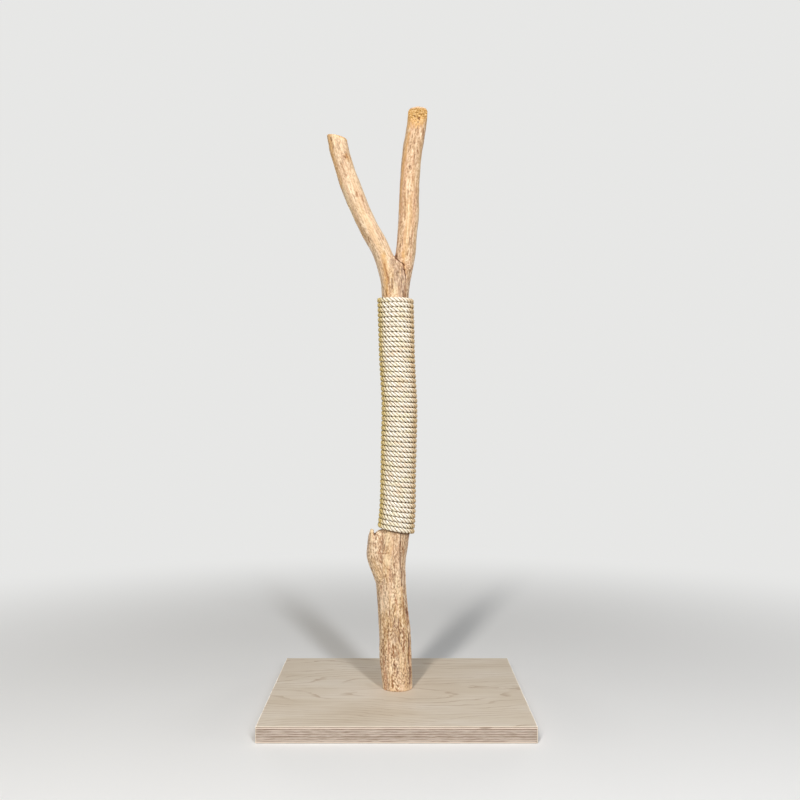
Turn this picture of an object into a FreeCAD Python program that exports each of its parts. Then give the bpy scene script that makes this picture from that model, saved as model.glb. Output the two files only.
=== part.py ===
# Cat scratching post: a natural forked trunk, peeled of its bark, stands on a square plywood plate.
# Sisal rope is wound round the trunk between the plate and the fork.
# One coach screw and two countersunk screws come up through the plate and hold the trunk.
# Millimetres, +Z up, origin at the centre of the plate's underside, the front of the post faces -Y.

import FreeCAD
import Part
import math
import os

# Plate
PLATE_SIDE = 500.0
PLATE_THICKNESS = 30.0
PLATE_EDGE_RADIUS = 2.0

# Trunk. Each station is (height, centre x, centre y, half width along x, half depth along y).
STEM = [
    (30, 1.5, 0, 29.5, 29.0),
    (85, -1.8, -1, 31.4, 30.5),
    (145, -4.0, -1, 31.6, 31.0),
    (200, -8.5, 1, 30.1, 30.5),
    (245, -11.8, 2, 30.6, 30.0),
    (285, -12.0, 3, 30.0, 29.5),
    (320, -6.0, 3, 28.8, 28.8),
    (345, -2.2, 3, 27.8, 27.8),
    (395, 1.6, 2, 26.8, 26.8),
    (450, 2.6, 1, 26.2, 26.2),
    (520, 3.9, 0, 26.4, 26.4),
    (600, 5.2, -2, 26.4, 26.4),
    (650, 2.8, -2, 26.2, 26.2),
    (700, 0.2, -1, 26.5, 26.5),
    (760, -1.2, 0, 26.8, 26.8),
    (820, -3.0, 1, 27.2, 27.2),
    (848, -3.4, 1, 28.8, 26.4),
    (873, -3.4, 2, 33.0, 23.5),
    (897, -3.4, 2, 32.0, 17.0),
]
LEFT_BRANCH = [
    (800, -4.0, 0, 21.0, 20.5),
    (850, -11.0, -1, 22.0, 21.0),
    (880, -19.5, -1, 21.3, 20.6),
    (905, -28.6, -2, 20.8, 20.2),
    (935, -44.0, -3, 22.8, 20.4),
    (965, -60.0, -5, 21.5, 20.0),
    (1000, -76.4, -6, 21.3, 19.8),
    (1040, -92.5, -8, 21.5, 20.0),
    (1080, -106.0, -10, 20.0, 18.8),
    (1110, -115.2, -11, 20.1, 18.8),
    (1160, -124.5, -13, 18.0, 17.8),
]
RIGHT_BRANCH = [
    (800, 0.0, 2, 20.5, 20.5),
    (850, 7.0, 4, 20.5, 20.5),
    (880, 12.8, 6, 20.6, 20.3),
    (906, 17.8, 8, 20.3, 20.3),
    (945, 21.2, 10, 20.2, 20.0),
    (985, 24.4, 12, 20.8, 20.0),
    (1030, 25.3, 15, 20.1, 19.8),
    (1070, 27.2, 18, 20.0, 19.8),
    (1110, 30.6, 20, 20.3, 19.8),
    (1150, 37.0, 22, 20.2, 19.6),
    (1185, 41.8, 23, 20.0, 19.5),
    (1235, 44.5, 25, 19.0, 19.0),
]
# The short stump of a branch that was sawn off just below the rope.
STUMP = [
    (225, -16.0, 0, 20.0, 22.0),
    (255, -27.0, -2, 20.0, 21.0),
    (280, -36.5, -3, 20.3, 21.0),
    (300, -41.5, -4, 19.7, 20.5),
    (320, -42.5, -4, 18.8, 19.5),
    (336, -41.5, -4, 16.8, 17.5),
    (349, -40.0, -4, 12.5, 13.0),
]
# Saw cuts at the branch tips: a point of the cut, and its slope along x or y.
LEFT_CUT = (-119.2, -12.0, 1137.0)
LEFT_CUT_FALL = 12.0        # degrees, down to the right
RIGHT_CUT = (43.0, 24.0, 1198.0)
RIGHT_CUT_RISE = 43.0       # degrees, up to the back
CUT_BLOCK = 200.0
SECTION_SPACING = 15.0      # height between the level sections that a limb is lofted through

# Rope
ROPE_DIAMETER = 9.2         # 10 mm sisal, drawn tight
ROPE_PITCH = 9.93
ROPE_TO_WOOD = 0.4
ROPE_TOP = 814.8            # height of the rope's centre where the winding starts, at the back
TURNS_UPPER = 24
TURNS_LOWER = 23
TILT_TOP = -0.03            # slope of a turn along x, at the top and at the bottom of the winding
TILT_BOTTOM = 0.13
TAIL_TURNS = 0.3            # part of a turn in which each end leaves its neighbour
TAIL_SHIFT = 4.5
STEPS_PER_TURN = 4
SAMPLES_PER_TURN = 48
LEAST_GAP = 0.4

# Staples that hold the two rope ends
STAPLE_WIRE = 1.6
STAPLE_CLEARANCE = 0.25
STAPLE_LEG = 15.0           # from the rope's centre line inwards
STAPLE_HOLE = 1.8
STAPLE_DISTANCES = (5, 20)  # from the rope's end, in whole millimetres

# Coach screw M10 x 100 with a washer, sunk in the underside of the plate
COACH_DIAMETER = 10.0
COACH_CORE = 7.0
COACH_LENGTH = 100.0
COACH_PLAIN = 35.0
COACH_HEAD_FLATS = 17.0
COACH_HEAD_HEIGHT = 7.0
COACH_THREAD_PITCH = 4.5
COACH_HOLE = 11.0
COACH_PILOT = 10.2
COUNTERBORE_DIAMETER = 24.0
COUNTERBORE_DEPTH = 12.0
WASHER_OUTER = 20.0
WASHER_INNER = 10.5
WASHER_THICKNESS = 2.0

# Countersunk screws 5 x 70 either side of it
SIDE_DIAMETER = 5.0
SIDE_CORE = 3.2
SIDE_LENGTH = 70.0
SIDE_PLAIN = 30.0
SIDE_HEAD = 10.0
SIDE_SINK = 1.0             # the head stays this far inside the underside
SIDE_THREAD_PITCH = 2.5
SIDE_SPACING = 38.0
SIDE_HOLE = 5.4
SIDE_PILOT = 5.2
SIDE_SLOT = (1.2, 5.4, 1.8)     # cross recess: width, length, depth

UP = FreeCAD.Vector(0, 0, 1)
ORIGIN = FreeCAD.Vector(0, 0, 0)


def vector(x, y, z):
    return FreeCAD.Vector(x, y, z)


def cylinder(diameter, low, high, x=0.0, y=0.0):
    return Part.makeCylinder(diameter / 2, high - low, vector(x, y, low), UP)


# ---- wood ----

def along(stations, height):
    """Centre x and y, half width and half depth at a height, on smooth curves through the stations."""
    last = len(stations) - 2
    i = 0
    while i < last and stations[i + 1][0] < height:
        i += 1
    a = stations[i]
    b = stations[i + 1]
    before = stations[max(i - 1, 0)]
    after = stations[min(i + 2, last + 1)]
    span = b[0] - a[0]
    s = (height - a[0]) / span
    values = []
    for k in (1, 2, 3, 4):
        slope_a = (b[k] - before[k]) / (b[0] - before[0]) * span
        slope_b = (after[k] - a[k]) / (after[0] - a[0]) * span
        value = (2 * s ** 3 - 3 * s ** 2 + 1) * a[k] + (s ** 3 - 2 * s ** 2 + s) * slope_a
        value += (3 * s ** 2 - 2 * s ** 3) * b[k] + (s ** 3 - s ** 2) * slope_b
        values.append(value)
    return values


def oval(stations, height):
    """A level oval section of the wood, as a closed wire."""
    x, y, half_width, half_depth = along(stations, height)
    centre = vector(x, y, height)
    wide = half_width >= half_depth
    long_way = vector(1, 0, 0) if wide else vector(0, 1, 0)
    long_half = max(half_width, half_depth)
    short_half = min(half_width, half_depth)
    if long_half - short_half < 0.01:
        long_half = short_half + 0.01
    ellipse = Part.Ellipse(ORIGIN, long_half, short_half)
    edge = ellipse.toShape()
    if not wide:
        edge.rotate(ORIGIN, UP, 90)
    edge.translate(centre)
    return Part.Wire([edge])


def limb(stations):
    """Wood lofted through level ovals at even heights."""
    low = stations[0][0]
    high = stations[-1][0]
    count = round((high - low) / SECTION_SPACING)
    heights = [low + (high - low) * i / count for i in range(count + 1)]
    return Part.makeLoft([oval(stations, height) for height in heights], True, False)


def saw_block(point, axis, degrees):
    """A block whose lower face passes through the point, turned about an axis through it."""
    half = CUT_BLOCK / 2
    block = Part.makeBox(CUT_BLOCK, CUT_BLOCK, CUT_BLOCK, vector(-half, -half, 0))
    block.rotate(ORIGIN, axis, degrees)
    block.translate(vector(*point))
    return block


def make_trunk(staples):
    left = limb(LEFT_BRANCH).cut(saw_block(LEFT_CUT, vector(0, 1, 0), LEFT_CUT_FALL))
    right = limb(RIGHT_BRANCH).cut(saw_block(RIGHT_CUT, vector(1, 0, 0), RIGHT_CUT_RISE))
    wood = limb(STEM).fuse([left, right, limb(STUMP)])
    foot = PLATE_THICKNESS - 1
    holes = [cylinder(COACH_PILOT, foot, coach_tip() + 1)]
    for x in side_screw_places():
        holes.append(cylinder(SIDE_PILOT, foot, SIDE_SINK + SIDE_LENGTH + 1, x))
    for place in staples:
        holes += staple_holes(*place)
    return wood.cut(holes).removeSplitter()


# ---- plate ----

def make_base_plate():
    half = PLATE_SIDE / 2
    plate = Part.makeBox(PLATE_SIDE, PLATE_SIDE, PLATE_THICKNESS, vector(-half, -half, 0))
    plate = plate.makeFillet(PLATE_EDGE_RADIUS, plate.Edges)
    holes = [
        cylinder(COACH_HOLE, -1, PLATE_THICKNESS + 1),
        cylinder(COUNTERBORE_DIAMETER, -1, COUNTERBORE_DEPTH),
    ]
    for x in side_screw_places():
        holes.append(cylinder(SIDE_HOLE, -1, PLATE_THICKNESS + 1, x))
        holes.append(countersink(x))
    return plate.cut(holes)


def countersink(x):
    """The conical seat of a screw head, open to the underside."""
    play = SIDE_HOLE - SIDE_DIAMETER
    radius = (SIDE_HEAD + play) / 2
    depth = (SIDE_HEAD - SIDE_DIAMETER) / 2
    seat = Part.makeCone(radius, SIDE_HOLE / 2, depth, vector(x, 0, SIDE_SINK), UP)
    return seat.fuse(cylinder(2 * radius, -1, SIDE_SINK, x))


# ---- rope ----

def rope_point(turn):
    """A point of the rope's centre line, counted in turns from the upper end, which is at the back.

    Seen from above the rope runs round from the back to the left, the front and the right.
    """
    turns = TURNS_UPPER + TURNS_LOWER
    level = ROPE_TOP - ROPE_PITCH * turn
    angle = math.pi / 2 + 2 * math.pi * turn
    x, y, wood_radius, _ = along(STEM, level)
    radius = wood_radius + ROPE_TO_WOOD + ROPE_DIAMETER / 2
    share = turn / turns
    tilt = TILT_TOP + (TILT_BOTTOM - TILT_TOP) * share ** 2
    shift = tail_shift(turn) - tail_shift(turns - turn)
    east = radius * math.cos(angle)
    north = radius * math.sin(angle)
    return vector(x + east, y + north, level - tilt * east + shift)


def tail_shift(turn):
    """How far an end of the rope, this many turns away, has moved off its neighbour."""
    left = max(0.0, 1 - turn / TAIL_TURNS)
    return TAIL_SHIFT * left ** 2


def rope_direction(turn):
    step = 0.001
    way = rope_point(turn + step) - rope_point(turn - step)
    return way.normalize()


def arc(start, way, end):
    """The arc from start to end that leaves start in the given direction."""
    chord = end - start
    along_chord = FreeCAD.Vector(chord).normalize()
    half_turn = math.acos(max(-1.0, min(1.0, way.dot(along_chord))))
    side = (way - along_chord * way.dot(along_chord)).normalize()
    rise = chord.Length / 2 * math.tan(half_turn / 2)
    middle = (start + end) * 0.5 + side * rise
    return Part.Arc(start, middle, end).toShape()


def biarc(start, way_start, end, way_end):
    """Two arcs that join two points smoothly, with the given directions at both."""
    gap = end - start
    ways = way_start + way_end
    k = 2 * (1 - way_start.dot(way_end))
    dot = gap.dot(ways)
    reach = (math.sqrt(dot * dot + k * gap.dot(gap)) - dot) / k
    corner_a = start + way_start * reach
    corner_b = end - way_end * reach
    middle = (corner_a + corner_b) * 0.5
    way_middle = (corner_b - corner_a).normalize()
    return [arc(start, way_start, middle), arc(middle, way_middle, end)]


def rope_wire(first, last):
    """The centre line between two turn counts: turns of arcs, with one straight diameter at each end."""
    stations = []
    for i in range(1, (last - first) * STEPS_PER_TURN):
        turn = first + i / STEPS_PER_TURN
        stations.append((rope_point(turn), rope_direction(turn)))
    way_in = rope_direction(first)
    way_out = rope_direction(last)
    run_in = way_in * ROPE_DIAMETER
    run_out = way_out * ROPE_DIAMETER
    head = rope_point(first)
    tail = rope_point(last)
    stations.insert(0, (head + run_in, way_in))
    stations.append((tail - run_out, way_out))
    edges = [Part.LineSegment(head, head + run_in).toShape()]
    for (start, way_start), (end, way_end) in zip(stations, stations[1:]):
        edges += biarc(start, way_start, end, way_end)
    edges.append(Part.LineSegment(tail - run_out, tail).toShape())
    return Part.Wire(edges)


def tube(wire, diameter):
    """A round tube along a wire."""
    first = wire.OrderedEdges[0]
    start = first.valueAt(first.FirstParameter)
    way = first.tangentAt(first.FirstParameter)
    ring = Part.Wire([Part.Circle(start, way, diameter / 2).toShape()])
    shell = Part.BRepOffsetAPI.MakePipeShell(wire)
    shell.add(ring, False, False)
    shell.build()
    shell.makeSolid()
    return shell.shape()


def least_gap(points):
    """The least clear distance of a wound tube to itself, on points of its centre line.

    Points within half a turn of each other are neighbours along the tube and aren't compared.
    """
    skip = SAMPLES_PER_TURN // 2
    reach = SAMPLES_PER_TURN * 3 // 2
    best = None
    for i, point in enumerate(points):
        for other in points[i + skip:i + reach]:
            distance = point.distanceToPoint(other)
            if best is None or distance < best:
                best = distance
    return best - ROPE_DIAMETER


def rope_wires():
    """Centre lines of the winding's upper and lower half, which meet face to face at the back."""
    turns = TURNS_UPPER + TURNS_LOWER
    return {
        "sisal_rope_upper": rope_wire(0, TURNS_UPPER),
        "sisal_rope_lower": rope_wire(TURNS_UPPER, turns),
    }


def make_rope(name, wire, turns):
    points = wire.discretize(turns * SAMPLES_PER_TURN + 1)
    rope = tube(wire, ROPE_DIAMETER)
    section = math.pi * ROPE_DIAMETER ** 2 / 4
    print(name, "turns", turns, "length", round(wire.Length), "mm")
    print(name, "least gap to itself", round(least_gap(points), 2), "mm, wanted over", LEAST_GAP, "mm")
    print(name, "volume over section times length", round(rope.Volume / (section * wire.Length), 4))
    return rope


# ---- staples ----

def staple_places(wires):
    """Rope point, outward direction and direction across the rope, for each staple."""
    upper, lower = wires.values()
    top = millimetre_points(upper)
    bottom = millimetre_points(lower)
    bottom.reverse()
    places = []
    for points in (top, bottom):
        for distance in STAPLE_DISTANCES:
            point = points[distance]
            way = (points[distance + 1] - points[distance - 1]).normalize()
            x, y, _, _ = along(STEM, point.z)
            outward = vector(point.x - x, point.y - y, 0)
            outward = (outward - way * outward.dot(way)).normalize()
            across = outward.cross(way).normalize()
            places.append((point, outward, across))
    return places


def millimetre_points(wire):
    return wire.discretize(round(wire.Length) + 1)


def staple_reach():
    return ROPE_DIAMETER / 2 + STAPLE_CLEARANCE + STAPLE_WIRE / 2


def make_staple(point, outward, across):
    """A U of wire over the rope, with both legs in the wood."""
    reach = staple_reach()
    shoulder_a = point + across * reach
    shoulder_b = point - across * reach
    crown = point + outward * reach
    inward = outward * -STAPLE_LEG
    wire = Part.Wire([
        Part.LineSegment(shoulder_a + inward, shoulder_a).toShape(),
        Part.Arc(shoulder_a, crown, shoulder_b).toShape(),
        Part.LineSegment(shoulder_b, shoulder_b + inward).toShape(),
    ])
    return tube(wire, STAPLE_WIRE)


def staple_holes(point, outward, across):
    holes = []
    for side in (1, -1):
        start = point + across * (side * staple_reach())
        holes.append(Part.makeCylinder(STAPLE_HOLE / 2, STAPLE_LEG + 0.5, start, outward * -1))
    return holes


# ---- screws ----

def coach_head_low():
    return COUNTERBORE_DEPTH - WASHER_THICKNESS - COACH_HEAD_HEIGHT


def coach_tip():
    return coach_head_low() + COACH_HEAD_HEIGHT + COACH_LENGTH


def side_screw_places():
    """x of the two side screws, either side of the coach screw."""
    return (-SIDE_SPACING / 2, SIDE_SPACING / 2)


def shank(low, high, plain, diameter, core, pitch):
    """A turned screw shank: a plain part, then ridged thread, then a point."""
    radius = diameter / 2
    core_radius = core / 2
    point_length = diameter
    outline = [vector(0, 0, low), vector(radius, 0, low), vector(radius, 0, low + plain)]
    height = low + plain
    while height + pitch < high - point_length:
        outline.append(vector(core_radius, 0, height + pitch * 0.25))
        outline.append(vector(core_radius, 0, height + pitch * 0.75))
        outline.append(vector(radius, 0, height + pitch))
        height += pitch
    outline.append(vector(core_radius, 0, height + pitch * 0.25))
    outline.append(vector(0, 0, high))
    outline.append(outline[0])
    return Part.Face(Part.makePolygon(outline)).revolve(ORIGIN, UP, 360)


def make_coach_screw():
    low = coach_head_low()
    seat = low + COACH_HEAD_HEIGHT
    corner_radius = COACH_HEAD_FLATS / math.sqrt(3)
    corners = []
    for i in range(7):
        angle = math.radians(60 * i)
        corners.append(vector(corner_radius * math.cos(angle), corner_radius * math.sin(angle), low))
    head = Part.Face(Part.makePolygon(corners)).extrude(vector(0, 0, COACH_HEAD_HEIGHT))
    chamfer = corner_radius - COACH_HEAD_FLATS / 2
    dome = Part.makeCone(corner_radius - chamfer, corner_radius, chamfer, vector(0, 0, low), UP)
    dome = dome.fuse(cylinder(2 * corner_radius, low + chamfer, seat))
    stem = shank(seat, coach_tip(), COACH_PLAIN, COACH_DIAMETER, COACH_CORE, COACH_THREAD_PITCH)
    return head.common(dome).fuse(stem)


def make_washer():
    high = COUNTERBORE_DEPTH
    low = high - WASHER_THICKNESS
    return cylinder(WASHER_OUTER, low, high).cut(cylinder(WASHER_INNER, low - 1, high + 1))


def make_side_screw(x):
    depth = (SIDE_HEAD - SIDE_DIAMETER) / 2
    head = Part.makeCone(SIDE_HEAD / 2, SIDE_DIAMETER / 2, depth, vector(0, 0, SIDE_SINK), UP)
    stem = shank(SIDE_SINK + depth, SIDE_SINK + SIDE_LENGTH, SIDE_PLAIN, SIDE_DIAMETER, SIDE_CORE,
                 SIDE_THREAD_PITCH)
    width, length, recess = SIDE_SLOT
    slot_a = Part.makeBox(length, width, recess, vector(-length / 2, -width / 2, SIDE_SINK))
    slot_b = Part.makeBox(width, length, recess, vector(-width / 2, -length / 2, SIDE_SINK))
    screw = head.fuse(stem).cut([slot_a, slot_b])
    screw.translate(vector(x, 0, 0))
    return screw


# ---- all pieces ----

def make_all():
    wires = rope_wires()
    staples = staple_places(wires)
    pieces = {
        "base_plate": make_base_plate(),
        "trunk": make_trunk(staples),
        "coach_screw": make_coach_screw(),
        "coach_screw_washer": make_washer(),
    }
    for (name, wire), turns in zip(wires.items(), (TURNS_UPPER, TURNS_LOWER)):
        pieces[name] = make_rope(name, wire, turns)
    for name, x in zip(("side_screw_left", "side_screw_right"), side_screw_places()):
        pieces[name] = make_side_screw(x)
    staple_names = ("rope_staple_top_outer", "rope_staple_top_inner",
                    "rope_staple_bottom_outer", "rope_staple_bottom_inner")
    for name, place in zip(staple_names, staples):
        pieces[name] = make_staple(*place)
    return pieces


def main():
    os.makedirs("parts", exist_ok=True)
    for name, piece in make_all().items():
        box = piece.BoundBox
        print(name, "solids", len(piece.Solids), "valid", piece.isValid(), "volume", round(piece.Volume),
              "x", round(box.XMin, 1), round(box.XMax, 1), "y", round(box.YMin, 1), round(box.YMax, 1),
              "z", round(box.ZMin, 1), round(box.ZMax, 1))
        piece.exportStep("parts/" + name + ".step")


main()
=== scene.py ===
# The looks of the cat scratching post: a peeled forked trunk on a plywood plate, wound with sisal rope.
# The front of the post faces -Y. Lengths are in metres here, and named sizes in mm are turned with MM.

import math

import bmesh
import bpy
import numpy as np
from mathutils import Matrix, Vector, noise


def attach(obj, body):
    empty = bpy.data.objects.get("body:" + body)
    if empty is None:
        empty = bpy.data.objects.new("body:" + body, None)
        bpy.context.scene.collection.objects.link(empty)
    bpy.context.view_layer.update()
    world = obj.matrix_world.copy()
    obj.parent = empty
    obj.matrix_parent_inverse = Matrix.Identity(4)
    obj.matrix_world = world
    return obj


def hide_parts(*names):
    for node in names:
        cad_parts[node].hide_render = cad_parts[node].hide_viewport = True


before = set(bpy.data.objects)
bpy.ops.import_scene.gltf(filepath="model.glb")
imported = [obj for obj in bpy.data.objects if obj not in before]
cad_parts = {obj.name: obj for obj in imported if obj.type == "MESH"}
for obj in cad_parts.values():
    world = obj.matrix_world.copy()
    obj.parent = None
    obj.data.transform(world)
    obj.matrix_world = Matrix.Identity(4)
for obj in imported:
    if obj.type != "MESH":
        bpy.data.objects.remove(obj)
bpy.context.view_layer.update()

MM = 0.001

# Wood, as in the CAD source: height, centre x, centre y, half width and half depth of level sections, mm.
STEM = [
    (30, 1.5, 0, 29.5, 29.0),
    (85, -1.8, -1, 31.4, 30.5),
    (145, -4.0, -1, 31.6, 31.0),
    (200, -8.5, 1, 30.1, 30.5),
    (245, -11.8, 2, 30.6, 30.0),
    (285, -12.0, 3, 30.0, 29.5),
    (320, -6.0, 3, 28.8, 28.8),
    (345, -2.2, 3, 27.8, 27.8),
    (395, 1.6, 2, 26.8, 26.8),
    (450, 2.6, 1, 26.2, 26.2),
    (520, 3.9, 0, 26.4, 26.4),
    (600, 5.2, -2, 26.4, 26.4),
    (650, 2.8, -2, 26.2, 26.2),
    (700, 0.2, -1, 26.5, 26.5),
    (760, -1.2, 0, 26.8, 26.8),
    (820, -3.0, 1, 27.2, 27.2),
    (848, -3.4, 1, 28.8, 26.4),
    (873, -3.4, 2, 33.0, 23.5),
    (897, -3.4, 2, 32.0, 17.0),
]
LEFT_BRANCH = [
    (800, -4.0, 0, 21.0, 20.5),
    (850, -11.0, -1, 22.0, 21.0),
    (880, -19.5, -1, 21.3, 20.6),
    (905, -28.6, -2, 20.8, 20.2),
    (935, -44.0, -3, 22.8, 20.4),
    (965, -60.0, -5, 21.5, 20.0),
    (1000, -76.4, -6, 21.3, 19.8),
    (1040, -92.5, -8, 21.5, 20.0),
    (1080, -106.0, -10, 20.0, 18.8),
    (1110, -115.2, -11, 20.1, 18.8),
    (1160, -124.5, -13, 18.0, 17.8),
]
RIGHT_BRANCH = [
    (800, 0.0, 2, 20.5, 20.5),
    (850, 7.0, 4, 20.5, 20.5),
    (880, 12.8, 6, 20.6, 20.3),
    (906, 17.8, 8, 20.3, 20.3),
    (945, 21.2, 10, 20.2, 20.0),
    (985, 24.4, 12, 20.8, 20.0),
    (1030, 25.3, 15, 20.1, 19.8),
    (1070, 27.2, 18, 20.0, 19.8),
    (1110, 30.6, 20, 20.3, 19.8),
    (1150, 37.0, 22, 20.2, 19.6),
    (1185, 41.8, 23, 20.0, 19.5),
    (1235, 44.5, 25, 19.0, 19.0),
]
STUMP = [
    (225, -16.0, 0, 20.0, 22.0),
    (255, -27.0, -2, 20.0, 21.0),
    (280, -36.5, -3, 20.3, 21.0),
    (300, -41.5, -4, 19.7, 20.5),
    (320, -42.5, -4, 18.8, 19.5),
    (336, -41.5, -4, 16.8, 17.5),
    (349, -40.0, -4, 12.5, 13.0),
]
LIMBS = {"stem": STEM, "left": LEFT_BRANCH, "right": RIGHT_BRANCH, "stump": STUMP}

# Saw cuts: a point of the cut in mm, and the direction that the cut face looks in.
CUTS = {
    "left": ((-119.2, -12.0, 1137.0), (math.sin(math.radians(12)), 0.0, math.cos(math.radians(12)))),
    "right": ((43.0, 24.0, 1198.0), (0.0, -math.sin(math.radians(43)), math.cos(math.radians(43)))),
    "stump": ((-57.6, -4.0, 330.0), (-0.975, -0.19, 0.10)),
}

# Knots: limb, height mm, angle from the front (+ is to the right), eye radius mm, swelling mm.
KNOTS = [
    ("left", 1094, 14, 3.6, 0.3),
    ("stem", 150, 168, 7.0, 1.6),
    ("stem", 262, 118, 5.5, 1.2),
    ("stem", 850, 172, 6.0, 1.2),
    ("left", 985, -150, 4.5, 1.0),
    ("right", 1000, 150, 4.8, 1.1),
    ("right", 1130, -110, 3.6, 0.8),
    ("stem", 96, -96, 6.0, 1.3),
]

# Drying cracks and seams: limb, (height mm, angle from the front) along the line, half width mm, depth mm.
CRACKS = [
    ("stem", [(346, 73), (312, 86)], 0.9, 1.0),
    ("stem", [(190, 70), (156, 64)], 0.8, 1.2),
    ("stem", [(240, 150), (190, 156), (120, 152)], 1.0, 2.0),
    ("stem", [(110, -140), (60, -133)], 0.9, 1.4),
    ("stem", [(320, 176), (268, 170)], 0.9, 1.4),
    ("stem", [(205, -84), (172, -78)], 0.8, 1.0),
    ("stem", [(128, -104), (84, -98)], 0.9, 1.2),
    ("stem", [(300, 118), (244, 124)], 0.9, 1.2),
    ("stem", [(90, 112), (44, 118)], 1.0, 1.5),
    ("stem", [(180, -166), (128, -172)], 0.9, 1.2),
    ("left", [(1136, -150), (1100, -142), (1072, -148)], 0.9, 1.5),
    ("left", [(980, 128), (940, 120)], 0.8, 1.1),
    ("right", [(1190, 168), (1150, 172), (1118, 166)], 0.9, 1.5),
    ("right", [(1194, -96), (1166, -92)], 0.9, 1.2),
    ("right", [(1010, 96), (972, 90)], 0.8, 1.0),
]

# Where the right branch grows out from under the left one: on the front or not, and (x, z) along it in mm.
SEAMS = [
    (True, [
        (-2.5, 896), (1.5, 891), (6.7, 886), (11.3, 884), (13.7, 880), (15.3, 872), (16.7, 864), (17.9, 856),
        (20.9, 850),
    ]),
    (False, [(-3, 896), (-5.5, 884), (-9, 868), (-8, 850)]),
]
SEAM_HALF_WIDTH = 1.7
SEAM_DEPTH = 2.1
SEAM_LIP = 2.0              # how far one side stands over the other
SEAM_LIP_REACH = 9.0

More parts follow.
